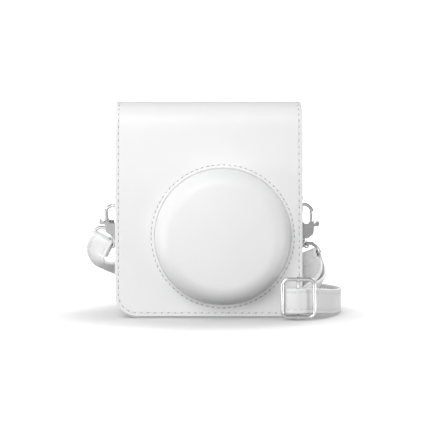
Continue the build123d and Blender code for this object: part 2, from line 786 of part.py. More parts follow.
def make_front_details():
    with BuildPart() as window:
        with BuildSketch(front_plane(BODY_FRONT + 1.6)):
            with Locations(VIEWFINDER):
                RectangleRounded(11.9, 8.9, 1.45)
        extrude(amount=1.3)
    save(window, "viewfinder_window")

    with BuildPart() as tunnel:
        with BuildSketch(front_plane(BODY_BACK - 2.4)):
            with Locations(VIEWFINDER):
                Rectangle(12.2, 9.6)
                Rectangle(10.4, 7.6, mode=Mode.SUBTRACT)
        extrude(amount=BODY_BACK - 2.4 - (BODY_FRONT + 3.2))
    save(tunnel, "viewfinder_tunnel")

    with BuildPart() as eyepiece:
        with BuildSketch(front_plane(BODY_BACK - 0.1)):
            with Locations(VIEWFINDER):
                RectangleRounded(11.9, 8.9, 1.45)
        extrude(amount=1.9)
    save(eyepiece, "viewfinder_eyepiece")

    with BuildPart() as flash_window:
        with BuildSketch(front_plane(BODY_FRONT + 1.8)):
            with Locations(FLASH):
                RectangleRounded(25.9, 15.9, 1.95)
        extrude(amount=1.5)
    save(flash_window, "flash_window")

    with BuildPart() as reflector:
        with BuildSketch(front_plane(BODY_FRONT + 3.2)):
            with Locations(FLASH):
                Rectangle(25, 15)
        with BuildSketch(front_plane(BODY_FRONT + 11)):
            with Locations(FLASH):
                Rectangle(19, 9)
        loft()
        with BuildSketch(front_plane(BODY_FRONT + 3.2)):
            with Locations(FLASH):
                Rectangle(23.6, 13.6)
        with BuildSketch(front_plane(BODY_FRONT + 10)):
            with Locations(FLASH):
                Rectangle(17, 7)
        loft(mode=Mode.SUBTRACT)
    save(reflector, "flash_reflector")

    with BuildPart() as tube:
        with Locations(Location((FLASH[0], BODY_FRONT + 8.2, FLASH[1]), (0, 90, 0))):
            Cylinder(1.2, 16)
    save(tube, "flash_tube")

    with BuildPart() as sensor:
        with BuildSketch(front_plane(BODY_FRONT + 1.5)):
            with Locations(SENSOR):
                Circle(2.45)
        extrude(amount=1.2)
    save(sensor, "light_sensor")


def make_shutter_button():
    x, z = SHUTTER
    with BuildPart() as button:
        with BuildSketch(facing(x, BODY_FRONT + 4.0, z)):
            Circle(7.6)
        extrude(amount=0.8)
        with BuildSketch(facing(x, BODY_FRONT + 3.4, z)):
            Circle(6.44)
        extrude(amount=4.6)
        fillet(button.edges().group_by(Axis.Y)[0], 0.8)
        with BuildSketch(facing(x, BODY_FRONT + 6.2, z)):
            Circle(1.5)
        extrude(amount=2.4)
    save(button, "shutter_button")

    with BuildPart() as spring:
        with BuildSketch(facing(x, BODY_FRONT + 9.0, z)):
            Circle(3.1)
            Circle(2.5, mode=Mode.SUBTRACT)
        extrude(amount=5.0)
    save(spring, "button_spring")

    with BuildPart() as switch:
        with Locations((x, BODY_FRONT + 15.4, z)):
            Box(8, 9.6, 8)
    save(switch, "release_switch")


# ---- the camera's film drive and electronics -------------------------------------------
def make_film_drive():
    rear_y = FRONT_ROLLER_Y + 2 * ROLLER_R + ROLLER_GAP
    gear_x = LENS_X + 34.0
    with BuildPart() as pack:
        with Locations((LENS_X, PACK_Y + 5, 52)):
            Box(60, 10, 92)
        fillet(pack.edges().filter_by(Axis.Y), 2)
        with Locations((LENS_X, PACK_Y + 1, LENS_Z)):
            Box(46, 2.01, 62, mode=Mode.SUBTRACT)
    save(pack, "film_pack")

    for name, y in (("front", FRONT_ROLLER_Y), ("rear", rear_y)):
        with BuildPart() as roller:
            with Locations(Location((LENS_X, y, ROLLER_Z), (0, 90, 0))):
                Cylinder(ROLLER_R, 2 * ROLLER_HALF)
                Cylinder(1.4, 2 * ROLLER_HALF + 16)
            with BuildSketch(across(gear_x - 0.4, y, ROLLER_Z)):
                Circle(3.4)
                with PolarLocations(3.55, 14):
                    Rectangle(0.9, 0.8)
            extrude(amount=3)
        save(roller, f"{name}_roller")

    with BuildPart() as bracket:
        for x in (LENS_X - ROLLER_HALF - 2.1, LENS_X + ROLLER_HALF + 0.6):
            with BuildSketch(across(x, (FRONT_ROLLER_Y + rear_y) / 2, ROLLER_Z)):
                Rectangle(16, 9.6)
                with Locations((-(2 * ROLLER_R + ROLLER_GAP) / 2, 0), ((2 * ROLLER_R + ROLLER_GAP) / 2, 0)):
                    Circle(1.4 + RUNNING_FIT, mode=Mode.SUBTRACT)
            extrude(amount=1.5)
    save(bracket, "roller_bracket")

    reach = 2 * ROLLER_R + ROLLER_GAP + 4
    gear_y = FRONT_ROLLER_Y - sqrt(reach**2 - 6**2)
    with BuildPart() as gear:
        with BuildSketch(across(gear_x - 0.4, gear_y, ROLLER_Z - 6)):
            Circle(7.4)
            with PolarLocations(7.55, 28):
                Rectangle(0.9, 0.8)
            Circle(1.0 + RUNNING_FIT, mode=Mode.SUBTRACT)
        extrude(amount=3)
    save(gear, "drive_gear")

    with BuildPart() as motor:
        with Locations(Location((gear_x - 13.5, gear_y, ROLLER_Z - 6), (0, 90, 0))):
            Cylinder(6, 20)
        with Locations(Location((gear_x - 3.5, gear_y, ROLLER_Z - 6), (0, 90, 0))):
            Cylinder(1.0, 8, align=STANDING)
    save(motor, "drive_motor")


def make_electronics():
    with BuildPart() as batteries:
        for y in (-13.0, 1.3):
            with Locations(Location((-2, y, 12.4), (0, 90, 0))):
                Cylinder(7.0, 49)
            with Locations(Location((23.2, y, 12.4), (0, 90, 0))):
                Cylinder(2.6, 1.4)
    save(batteries, "batteries")

    with BuildPart() as board:
        with Locations((-37.5, -2.0, 56)):
            Box(23, 1.6, 56)
    save(board, "main_board")

    with BuildPart() as capacitor:
        with Locations((-38, 4.4, 44)):
            Cylinder(5.5, 28)
    save(capacitor, "flash_capacitor")


make_side_gusset()
make_back_panel()
make_front_lip()
make_case_lining()
make_flap()
make_dome()

make_side_tabs()
make_d_rings()

# Each strap ring: which way its bar and the top of its bow point, and where the eye holds it.
left_plane = clasp_plane(-1, HOOK_Z, 33.0)
right_plane = clasp_plane(1, HOOK_Z, 0.0)
left_bar = unit(Vector(0.86, -0.20, -0.46))
left_apex = unit(Vector(0.413, -0.243, 0.878) - left_bar * Vector(0.413, -0.243, 0.878).dot(left_bar))
right_bar = unit(Vector(0.74, -0.58, 0.34))
right_apex = unit(Vector(-0.2, 0.29, 0.93) - right_bar * Vector(-0.2, 0.29, 0.93).dot(right_bar))
rings = {}
for name, plane, bar, apex, turn in (
    ("left", left_plane, left_bar, left_apex, 42.0),
    ("right", right_plane, right_bar, right_apex, 0.0),
):
    make_clasp(plane, name)
    a = radians(turn)
    along = bar * cos(a) - apex * sin(a)
    eye = make_swivel(plane, along, name)
    rings[name] = make_strap_ring(eye, bar, apex, turn, name)
make_clasp_pins((left_plane, right_plane))

make_strap_coil()
make_strap_band()
make_slider()
make_strap_lead(rings["left"] - left_apex * 4.2)
start = rings["right"] - right_apex * 2.6
make_lofted_band(
    [
        (start, right_bar, (0.2, -0.29, -0.93), 4.0),
        ((64.6, -3.0, 28.0), (0.62, -0.30, 0.72), (0.12, -0.55, -0.8), 6.0),
        ((64.8, -14.0, 20.0), (0.35, -0.25, 0.88), (-0.05, -0.82, -0.5), 6.0),
        ((61.6, -25.5, 13.0), (0.1, 0.0, 1.0), (-0.5, -0.85, -0.12), 5.0),
        ((55.2, -34.0, 9.4), (0.0, 0.0, 1.0), (-0.85, -0.5, 0.0), 3.4),
    ],
    "adjust_loop",
)

make_front_shell()
make_rear_shell()
make_lens()
make_front_details()
make_shutter_button()
make_film_drive()
make_electronics()
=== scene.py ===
"""The finished look of the instant camera's fitted case, its strap and the camera inside.

Lengths are in millimetres until place() or at() turns them into metres. +Z is up and the
front faces -Y. The case's sewn leather, its dome and the strap are made here. The metal
fittings, the tub and the camera keep their CAD shapes and get procedural materials.
"""

import json
import math

import bmesh
import bpy
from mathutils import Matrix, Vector, noise
from mathutils.geometry import delaunay_2d_cdt


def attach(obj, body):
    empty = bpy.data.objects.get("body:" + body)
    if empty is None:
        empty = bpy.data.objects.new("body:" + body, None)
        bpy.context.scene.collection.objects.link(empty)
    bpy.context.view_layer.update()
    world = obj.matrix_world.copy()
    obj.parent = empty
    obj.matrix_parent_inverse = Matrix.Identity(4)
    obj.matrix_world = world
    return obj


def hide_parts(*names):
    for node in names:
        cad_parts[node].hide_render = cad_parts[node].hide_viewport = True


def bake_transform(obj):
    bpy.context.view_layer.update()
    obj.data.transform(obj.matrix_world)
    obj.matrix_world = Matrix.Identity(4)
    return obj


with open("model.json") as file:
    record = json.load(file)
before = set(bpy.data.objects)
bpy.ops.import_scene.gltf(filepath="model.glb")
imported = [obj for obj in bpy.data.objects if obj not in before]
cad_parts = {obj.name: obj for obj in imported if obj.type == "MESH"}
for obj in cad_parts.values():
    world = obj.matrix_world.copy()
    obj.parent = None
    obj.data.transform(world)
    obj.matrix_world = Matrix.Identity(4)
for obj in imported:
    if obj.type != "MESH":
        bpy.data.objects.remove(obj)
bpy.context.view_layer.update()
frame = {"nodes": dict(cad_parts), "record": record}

MM = 0.001

# ---- the case, in millimetres ----------------------------------------------------------
HALF_WIDTH = 56.0
BACK_Y = 28.0
FRONT_Y = -28.0
TOP_Z = 131.0
FLAP_FOOT_Z = 1.0
BACK_FOOT_Z = 104.0
BACK_FOLD_R = 12.0
FRONT_FOLD_R = 16.0
FRONT_CORNER_R = 13.0
BACK_CORNER_R = 4.2
SKIN = 1.5
LINED = 2.4
NAP = 2.28  # the fleece lies a little lower than the magnets' faces
STITCH_INSET = 2.1
STITCH_PITCH = 4.0
LENS_X = 8.3
LENS_Z = 48.8
DOME_R = 40.4
DOME_STITCH_R = 42.7
DOME_STITCH_PITCH = 3.3
HOLE_RIM_R = 43.5
FLANGE_HOLE_R = 44.7

# ---- the strap -------------------------------------------------------------------------
STRAP_WIDTH = 15.0
STRAP_STITCH = 5.0
STRAP_PITCH = 3.6
STRAP_FACE = 0.98  # the stitches lie this far from the strap's middle plane


# ---- materials -------------------------------------------------------------------------
def link(tree, start, start_socket, end, end_socket):
    tree.links.new(start.outputs[start_socket], end.inputs[end_socket])


def noise_node(tree, coords, scale, detail=3.0, rough=0.5):
    node = tree.nodes.new("ShaderNodeTexNoise")
    node.inputs["Scale"].default_value = scale
    node.inputs["Detail"].default_value = detail
    node.inputs["Roughness"].default_value = rough
    link(tree, coords, "Object", node, "Vector")
    return node


def finish_material(name, shade, tint, gloss, mottle=70.0, grain=2500.0, depth=0.03, cells=0.0,
                    stretch=None, metallic=0.0, **sockets):
    """A finish mottled between two colours and two roughnesses, with a bump of grain or cells.

    depth is the bump's height in millimetres. mottle, grain and cells are per metre.
    """
    material = bpy.data.materials.new(name)
    material.use_nodes = True
    tree = material.node_tree
    shader = tree.nodes["Principled BSDF"]
    shader.inputs["Metallic"].default_value = metallic
    for socket, value in sockets.items():
        shader.inputs[socket.replace("_", " ")].default_value = value
    coords = tree.nodes.new("ShaderNodeTexCoord")

    patches = noise_node(tree, coords, mottle)
    mix = tree.nodes.new("ShaderNodeMix")
    mix.data_type = "RGBA"
    mix.inputs["A"].default_value = (*shade, 1.0)
    mix.inputs["B"].default_value = (*tint, 1.0)
    link(tree, patches, "Fac", mix, "Factor")
    tree.links.new(mix.outputs[2], shader.inputs["Base Color"])

    fine = noise_node(tree, coords, grain, 4.0, 0.6)
    if stretch:
        mapping = tree.nodes.new("ShaderNodeMapping")
        mapping.inputs["Scale"].default_value = stretch
        link(tree, coords, "Object", mapping, "Vector")
        link(tree, mapping, "Vector", fine, "Vector")
    shine = tree.nodes.new("ShaderNodeMapRange")
    shine.inputs["To Min"].default_value = gloss[0]
    shine.inputs["To Max"].default_value = gloss[1]
    link(tree, fine, "Fac", shine, "Value")
    link(tree, shine, "Result", shader, "Roughness")

    bump = tree.nodes.new("ShaderNodeBump")
    bump.inputs["Strength"].default_value = 1.0
    bump.inputs["Distance"].default_value = depth * MM
    height = fine, "Fac"
    if cells:
        pores = tree.nodes.new("ShaderNodeTexVoronoi")
        pores.inputs["Scale"].default_value = cells
        link(tree, coords, "Object", pores, "Vector")
        both = tree.nodes.new("ShaderNodeMath")
        both.operation = "MULTIPLY_ADD"
        both.inputs[1].default_value = 1.4
        link(tree, pores, "Distance", both, 0)
        link(tree, fine, "Fac", both, 2)
        height = both, "Value"
    link(tree, *height, bump, "Height")
    link(tree, bump, "Normal", shader, "Normal")
    return material


WHITE_LEATHER = finish_material(
    "white_leather_finish", (0.80, 0.80, 0.805), (0.84, 0.84, 0.845), (0.36, 0.46),
    mottle=45.0, grain=3200.0, depth=0.018, cells=1500.0,
    Specular_IOR_Level=0.45, Coat_Weight=0.06, Coat_Roughness=0.35,
)
THREAD = finish_material(
    "white_thread", (0.78, 0.78, 0.78), (0.88, 0.88, 0.88), (0.6, 0.75),
    mottle=900.0, grain=5000.0, depth=0.05,
)
# Painted shade: the needle holes are dark discs that stand for the shadow inside each hole.
NEEDLE_HOLE_SHADE = finish_material(
    "needle_hole_painted_shade", (0.10, 0.10, 0.105), (0.18, 0.18, 0.185), (0.8, 0.9), grain=4000.0,
)
FLEECE = finish_material(
    "white_fleece", (0.72, 0.72, 0.72), (0.88, 0.88, 0.88), (0.9, 1.0),
    mottle=1400.0, grain=2600.0, depth=0.35, Sheen_Weight=0.5, Sheen_Roughness=0.6,
)
FINISHES = {
    "white_leather": WHITE_LEATHER,
    "fleece_lining": FLEECE,
    "polished_nickel": finish_material(
        "polished_nickel_finish", (0.60, 0.60, 0.61), (0.68, 0.68, 0.68), (0.12, 0.22),
        mottle=120.0, grain=700.0, depth=0.012, metallic=1.0,
    ),
    "steel": finish_material(
        "brushed_steel", (0.50, 0.50, 0.51), (0.60, 0.60, 0.60), (0.28, 0.42),
        grain=1500.0, depth=0.006, stretch=(1.0, 1.0, 0.08), metallic=1.0,
    ),
    "camera_white_plastic": finish_material(
        "satin_white_plastic", (0.82, 0.83, 0.84), (0.86, 0.87, 0.88), (0.34, 0.42),
        grain=2200.0, depth=0.008,
    ),
    "camera_grey_plastic": finish_material(
        "satin_grey_plastic", (0.42, 0.44, 0.47), (0.47, 0.49, 0.52), (0.36, 0.46),
        grain=2200.0, depth=0.01,
    ),
    "black_plastic": finish_material(
        "matt_black_plastic", (0.018, 0.018, 0.02), (0.035, 0.035, 0.038), (0.5, 0.62),
        grain=1800.0, depth=0.02,
    ),
    "dark_metal": finish_material(
        "blackened_metal", (0.09, 0.09, 0.10), (0.14, 0.14, 0.15), (0.38, 0.5),
        depth=0.006, metallic=1.0,
    ),
    "clear_glass": finish_material(
        "clear_glass_finish", (0.93, 0.96, 0.97), (0.97, 0.98, 0.99), (0.02, 0.05),
        depth=0.001, Transmission_Weight=0.95, IOR=1.5,
    ),
    "reflector_metal": finish_material(
        "bright_reflector", (0.82, 0.82, 0.83), (0.9, 0.9, 0.9), (0.1, 0.18),
        depth=0.004, metallic=1.0,
    ),
    "roller_rubber": finish_material(
        "roller_rubber_finish", (0.05, 0.05, 0.055), (0.09, 0.09, 0.095), (0.62, 0.78),
        grain=1600.0, depth=0.04,
    ),
    "gear_nylon": finish_material(
        "natural_nylon", (0.76, 0.74, 0.66), (0.84, 0.82, 0.75), (0.4, 0.5), depth=0.01,
    ),
    "motor_steel": finish_material(
        "plated_can", (0.5, 0.5, 0.5), (0.62, 0.62, 0.61), (0.22, 0.34),
        depth=0.005, metallic=1.0,
    ),
    "battery_jacket": finish_material(
        "grey_jacket", (0.18, 0.2, 0.23), (0.25, 0.27, 0.3), (0.3, 0.4), depth=0.005,
    ),
    "board_green": finish_material(
        "circuit_board", (0.02, 0.14, 0.06), (0.05, 0.24, 0.11), (0.35, 0.5),
        mottle=500.0, depth=0.02,
    ),
    "capacitor_sleeve": finish_material(
        "heat_shrink", (0.03, 0.035, 0.06), (0.05, 0.06, 0.1), (0.25, 0.35), depth=0.006,
    ),
}

for part in frame["record"]["subparts"]:
    node = frame["nodes"][part["node"]]
    for slot in node.material_slots:
        slot.material = FINISHES[part["material_slot"]]


# ---- mesh helpers ----------------------------------------------------------------------
def at(point):
    """A point given in millimetres, in metres."""
    return Vector(point) * MM


def make_piece(name, verts, faces, material):
    """A smooth-shaded piece from points in metres."""
    mesh = bpy.data.meshes.new(name)
    mesh.from_pydata([tuple(v) for v in verts], [], faces)
    mesh.validate()
    mesh.polygons.foreach_set("use_smooth", [True] * len(mesh.polygons))
    mesh.materials.append(material)
    piece = bpy.data.objects.new(name, mesh)
    bpy.context.scene.collection.objects.link(piece)
    return piece


def weld(piece, distance=0.006):
    """Joins the points that coincide and turns every face outward."""
    bm = bmesh.new()
    bm.from_mesh(piece.data)
    bmesh.ops.remove_doubles(bm, verts=bm.verts, dist=distance * MM)
    bmesh.ops.recalc_face_normals(bm, faces=bm.faces)
    bm.to_mesh(piece.data)
    bm.free()


def join_grid(rows, around=False, offset=0):
    """Faces between neighbouring rows of points. around closes each row into a ring."""
    count = len(rows[0])
    faces = []
    for i in range(len(rows) - 1):
        a = offset + i * count
        b = a + count
        for j in range(count if around else count - 1):
            k = (j + 1) % count
            faces.append((a + j, a + k, b + k, b + j))
    return faces


class Builder:
    """Gathers points and faces for one piece."""

    def __init__(self):
        self.verts = []
        self.faces = []

    def grid(self, rows, around=False):
        self.faces += join_grid(rows, around, offset=len(self.verts))
        for row in rows:
            self.verts += row

    def patch(self, verts, faces):
        start = len(self.verts)
        self.verts += verts
        self.faces += [tuple(start + i for i in face) for face in faces]

    def tube(self, points, radii, sides=6):
        """A closed tube through the points, with one radius at each."""
        rows = []
        previous = None
        for i, point in enumerate(points):
            run = (points[min(i + 1, len(points) - 1)] - points[max(i - 1, 0)]).normalized()
            across = previous or run.orthogonal()
            across = (across - run * across.dot(run)).normalized()
            previous = across
            up = run.cross(across)
            turns = [math.tau * k / sides for k in range(sides)]
            rows.append([point + (across * math.cos(t) + up * math.sin(t)) * radii[i] for t in turns])
        start = len(self.verts)
        self.grid(rows, around=True)
        self.faces.append(tuple(start + k for k in range(sides)))
        last = start + (len(rows) - 1) * sides
        self.faces.append(tuple(last + k for k in range(sides)))

    def make(self, name, material, slot):
        return make_piece(name, self.verts, self.faces, material)


# ---- stitching -------------------------------------------------------------------------
THREAD_R = 0.28
THREAD_DIVE = ((0.0, 0.42, 0.5), (0.14, 0.06, 0.9), (0.5, -0.1, 1.0), (0.86, 0.06, 0.9), (1.0, 0.42, 0.5))
# The needle holes are shallow discs coloured with painted shade.
HOLE_R = 0.44
HOLE_STRETCH = 1.4
HOLE_DEPTH = 0.03
HOLE_DISH = 0.05
HOLE_SIDES = 10
TANGENT_STEP = 0.4


def sew_line(line, pitch, threads, dark, gap=0.3):
    """Adds threads, and needle holes drawn as dark discs of painted shade, along a line to two builders.

    line is (function, length in millimetres), and the function gives the point and outward
    normal at a distance. Each stitch dives into a hole at both ends.
    """
    place_on, length = line
    count = max(1, round(length / pitch))
    step = length / count
    for i in range(count):
        start = (i + gap / 2) * step
        run = (1 - gap) * step
        points = []
        for share, dive, _ in THREAD_DIVE:
            point, out = place_on(start + share * run)
            points.append(point - out * dive * MM)
        threads.tube(points, [THREAD_R * full * MM for _, _, full in THREAD_DIVE])
        # A needle hole: a shallow disc whose dark colour is painted shade.
        point, out = place_on(i * step)
        ahead, _ = place_on(i * step + TANGENT_STEP)
        behind, _ = place_on(i * step - TANGENT_STEP)
        along = (ahead - behind).normalized()
        side = out.cross(along)
        centre = point - out * HOLE_DEPTH * MM
        ring = []
        for k in range(HOLE_SIDES):
            t = math.tau * k / HOLE_SIDES
            reach = along * HOLE_STRETCH * math.cos(t) + side * math.sin(t)
            ring.append(centre + reach * HOLE_R * MM)
        fan = [(0, 1 + k, 1 + (k + 1) % HOLE_SIDES) for k in range(HOLE_SIDES)]
        dark.patch([centre - out * HOLE_DISH * MM] + ring, fan)


def sew(lines, pitch, name):
    """The threads of some sewing lines as one piece, and their needle holes, dark discs of painted shade,
    as another.
    """
    threads = Builder()
    dark = Builder()
    for line in lines:
        sew_line(line, pitch, threads, dark)
    return [
        threads.make(name, THREAD, "white_leather"),
        dark.make(name + "_painted_hole_shade", NEEDLE_HOLE_SHADE, "white_leather"),
    ]


# ---- the flap's one sheet of leather ---------------------------------------------------
# A place on the sheet is (x, s): s runs from the back strip's foot, up the back, over the
# top and down the front.
FLAT_BACK = TOP_Z - BACK_FOLD_R - BACK_FOOT_Z
BACK_ARC = BACK_FOLD_R * math.pi / 2
FLAT_TOP = BACK_Y - FRONT_Y - BACK_FOLD_R - FRONT_FOLD_R
FRONT_ARC = FRONT_FOLD_R * math.pi / 2
FLAT_FRONT = TOP_Z - FRONT_FOLD_R - FLAP_FOOT_Z
S_TOP = FLAT_BACK + BACK_ARC
S_MIDDLE = S_TOP + FLAT_TOP / 2
S_FRONT_FOLD = S_TOP + FLAT_TOP
S_FRONT = S_FRONT_FOLD + FRONT_ARC
S_END = S_FRONT + FLAT_FRONT
S_LENS = S_END - (LENS_Z - FLAP_FOOT_Z)
RING_SIDES = 160
STITCH_LEVEL = 0.12


def sheet_point(s):
    """The place (y, z) on the closed flap's outer face, and the outward normal there."""
    if s <= FLAT_BACK:
        return (BACK_Y, BACK_FOOT_Z + s), (1.0, 0.0)
    if s <= S_TOP:
        turn = (s - FLAT_BACK) / BACK_FOLD_R
        out = (math.cos(turn), math.sin(turn))
        centre = (BACK_Y - BACK_FOLD_R, TOP_Z - BACK_FOLD_R)
        return (centre[0] + BACK_FOLD_R * out[0], centre[1] + BACK_FOLD_R * out[1]), out
    if s <= S_FRONT_FOLD:
        return (BACK_Y - BACK_FOLD_R - (s - S_TOP), TOP_Z), (0.0, 1.0)
    if s <= S_FRONT:
        turn = (s - S_FRONT_FOLD) / FRONT_FOLD_R
        out = (-math.sin(turn), math.cos(turn))
        centre = (FRONT_Y + FRONT_FOLD_R, TOP_Z - FRONT_FOLD_R)
        return (centre[0] + FRONT_FOLD_R * out[0], centre[1] + FRONT_FOLD_R * out[1]), out
    return (FRONT_Y, TOP_Z - FRONT_FOLD_R - (s - S_FRONT)), (-1.0, 0.0)


def place(x, s, depth):
    """A point of the sheet, depth millimetres under its outer face."""
    (y, z), (out_y, out_z) = sheet_point(s)
    return at((x, y - out_y * depth, z - out_z * depth))


def sheet_normal(s):
    _, (out_y, out_z) = sheet_point(s)
    return Vector((0.0, out_y, out_z))


def steps(start, end, spacing):
    count = max(1, math.ceil(abs(end - start) / spacing))
    return [start + (end - start) * i / count for i in range(count + 1)]


def outline(end, corner):
    """The sheet's edge from its middle to one end and back: each (x, s) and inward normal."""
    sign = 1 if end > S_MIDDLE else -1
    line = [((-HALF_WIDTH, s), (1, 0)) for s in steps(S_MIDDLE, end - sign * corner, 1.4)]
    turns = [math.pi / 2 * i / 12 for i in range(1, 12)]
    middle = HALF_WIDTH - corner
    for t in turns:
        inward = (math.cos(t), -sign * math.sin(t))
        line.append(((-middle - corner * inward[0], end - sign * corner - corner * inward[1]), inward))
    line += [((x, end), (0, -sign)) for x in steps(-middle, middle, 2.0)]
    for t in reversed(turns):
        inward = (-math.cos(t), -sign * math.sin(t))
        line.append(((middle - corner * inward[0], end - sign * corner - corner * inward[1]), inward))
    line += [((HALF_WIDTH, s), (-1, 0)) for s in steps(end - sign * corner, S_MIDDLE, 1.4)]
    return line


def inset_line(line, inset):
    return [(p[0] + n[0] * inset, p[1] + n[1] * inset) for p, n in line]


def ring_line(radius):
    """A circle round the dome's middle, as places on the sheet."""
    turns = [math.tau * i / RING_SIDES for i in range(RING_SIDES)]
    return [(LENS_X + radius * math.cos(t), S_LENS + radius * math.sin(t)) for t in turns]


def soft_wave(x, s):
    """The slow unevenness of leather over board, in millimetres."""
    return 0.10 * noise.noise(Vector((x * 0.022, s * 0.022, 3.1)))


def fill(builder, loop, depth, hole=None, spacing=2.6):
    """Triangles over the region inside loop and outside hole, at one depth."""
    points = [Vector(p) for p in loop]
    edges = [(i, (i + 1) % len(loop)) for i in range(len(loop))]
    low_x, high_x = min(p.x for p in points), max(p.x for p in points)
    low_s, high_s = min(p.y for p in points), max(p.y for p in points)
    if hole:
        first = len(points)
        points += [Vector(p) for p in ring_line(hole)]
        edges += [(first + i, first + (i + 1) % RING_SIDES) for i in range(RING_SIDES)]
    corner = 6.0
    for s in steps(low_s, high_s, 2.0)[1:-1]:
        for x in steps(low_x, high_x, spacing)[1:-1]:
            near_end = min(s - low_s, high_s - s) < corner and min(x - low_x, high_x - x) < corner
            in_hole = hole and math.hypot(x - LENS_X, s - S_LENS) < hole + 0.8
            near_side = min(x - low_x, high_x - x) < 0.8
            if not (near_end or in_hole or near_side):
                points.append(Vector((x, s)))
    verts, _, faces, _, _, _ = delaunay_2d_cdt(points, edges, [], 0, 1e-5)
    kept = []
    for face in faces:
        middle = sum((verts[i] for i in face), Vector((0.0, 0.0))) / len(face)
        if hole and math.hypot(middle.x - LENS_X, middle.y - S_LENS) < hole:
            continue
        if inside(middle, loop):
            kept.append(face)
    builder.patch([place(v.x, v.y, depth(v.x, v.y)) for v in verts], kept)


def inside(point, loop):
    """Whether a place on the sheet is within the loop."""
    found = False
    for (x1, s1), (x2, s2) in zip(loop, loop[1:] + loop[:1]):
        if (s1 > point.y) != (s2 > point.y):
            found ^= point.x < (x2 - x1) * (point.y - s1) / (s2 - s1) + x1
    return found


# Each row is (inset from the edge, depth): the underside, the painted edge, a creased
# line beside it, then the shallow channel that the stitches lie in.
EDGE_ROWS = (
    (1.3, SKIN), (0.3, SKIN), (0.05, 1.3), (0.0, 1.0), (0.0, 0.6), (0.06, 0.35), (0.2, 0.14),
    (0.42, 0.03), (0.62, 0.02), (0.8, 0.14), (0.98, 0.03), (1.25, 0.0), (1.6, 0.02), (1.85, 0.12),
    (2.1, 0.26), (2.35, 0.12), (2.6, 0.02), (3.0, -0.02), (3.5, 0.0),
)
HOLE_ROWS = (
    (41.4, SKIN), (40.6, SKIN), (40.5, 1.4), (40.5, 1.1), (40.62, 0.7), (40.8, 0.36), (41.05, 0.12),
    (41.4, 0.0), (41.8, -0.03), (42.2, 0.02), (42.45, 0.12), (DOME_STITCH_R, 0.26), (42.95, 0.12),
    (43.2, 0.02), (HOLE_RIM_R, 0.0),
)
LINING_ROWS = ((1.0, SKIN - 0.05), (1.0, 2.0), (1.25, NAP - 0.05), (2.0, NAP))


def under(depth):
    """A depth that follows the sheet's slow waves."""
    return lambda x, s: depth - soft_wave(x, s)


def make_sheet(name, end, corner, hole=False):
    """One half of the flap's leather: its edge, its faces and the round hole for the dome."""
    edge = outline(end, corner)
    builder = Builder()
    builder.grid([
        [place(x, s, depth - soft_wave(x, s)) for x, s in inset_line(edge, inset)]
        for inset, depth in EDGE_ROWS
    ])
    if hole:
        builder.grid([
            [place(x, s, depth - soft_wave(x, s)) for x, s in ring_line(radius)]
            for radius, depth in HOLE_ROWS
        ], around=True)
    fill(builder, inset_line(edge, EDGE_ROWS[-1][0]), under(0.0), HOLE_RIM_R if hole else None)
    fill(builder, inset_line(edge, EDGE_ROWS[0][0]), under(SKIN), HOLE_ROWS[0][0] if hole else None)
    piece = builder.make(name, WHITE_LEATHER, "white_leather")
    weld(piece)
    return piece


def make_lining(name, end, corner, hole=False):
    """The fleece under one half of the flap."""
    edge = outline(end, corner)
    builder = Builder()
    builder.grid([
        [place(x, s, depth - soft_wave(x, s)) for x, s in inset_line(edge, inset)]
        for inset, depth in LINING_ROWS
    ])
    if hole:
        builder.grid([
            [place(x, s, depth) for x, s in ring_line(FLANGE_HOLE_R)] for depth in (SKIN, NAP)
        ], around=True)
    fill(builder, inset_line(edge, LINING_ROWS[-1][0]), under(NAP), FLANGE_HOLE_R if hole else None)
    piece = builder.make(name, FLEECE, "fleece_lining")
    weld(piece)
    return piece


def sheet_line(points):
    """A sewing line through places on the sheet, with its length."""
    lengths = [0.0]
    for (x1, s1), (x2, s2) in zip(points, points[1:]):
        lengths.append(lengths[-1] + math.hypot(x2 - x1, s2 - s1))

    def find(distance):
        distance = min(max(distance, 0.0), lengths[-1])
        i = next((k for k in range(1, len(lengths)) if lengths[k] >= distance), len(lengths) - 1)
        share = (distance - lengths[i - 1]) / (lengths[i] - lengths[i - 1])
        x = points[i - 1][0] + (points[i][0] - points[i - 1][0]) * share
        s = points[i - 1][1] + (points[i][1] - points[i - 1][1]) * share
        return place(x, s, STITCH_LEVEL - soft_wave(x, s)), sheet_normal(s)

    return find, lengths[-1]


def bend_back(piece):
    """Bakes the piece's placement into its mesh; the leather over the back fold is not bent here."""
    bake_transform(piece)


def bend_front(piece):
    """Bakes the piece's placement into its mesh; the leather over the front fold is not straightened
    here.
    """
    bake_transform(piece)


back_sheet = make_sheet("flap_leather_back", 0.0, BACK_CORNER_R)
front_sheet = make_sheet("flap_leather_front", S_END, FRONT_CORNER_R, hole=True)
back_lining = make_lining("flap_fleece_back", 0.0, BACK_CORNER_R)
front_lining = make_lining("flap_fleece_front", S_END, FRONT_CORNER_R, hole=True)
back_edge = inset_line(outline(0.0, BACK_CORNER_R), STITCH_INSET)
front_edge = inset_line(outline(S_END, FRONT_CORNER_R), STITCH_INSET)
dome_ring = ring_line(DOME_STITCH_R)
back_stitches = sew([sheet_line(back_edge)], STITCH_PITCH, "flap_stitching_back")
front_stitches = sew([sheet_line(front_edge)], STITCH_PITCH, "flap_stitching_front")
dome_stitches = sew([sheet_line(dome_ring + dome_ring[:1])], DOME_STITCH_PITCH, "dome_stitching")

for piece in (back_sheet, back_lining, *back_stitches):
    bend_back(piece)
for piece in (front_sheet, front_lining, *front_stitches):
    bend_front(piece)
for piece in dome_stitches:
    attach(piece, "flap_front")
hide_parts("flap_back_strip", "flap_top_panel")
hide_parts("flap_front_panel", "flap_top_panel")
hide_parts("flap_front_lining")


# ---- the dome --------------------------------------------------------------------------
CROWN_Y = -44.0
CROWN_DROP = 1.1
RIM_R = 12.0
DOME_WALL = 2.0
DOME_SIDES = 144
FLANGE_R = 44.5


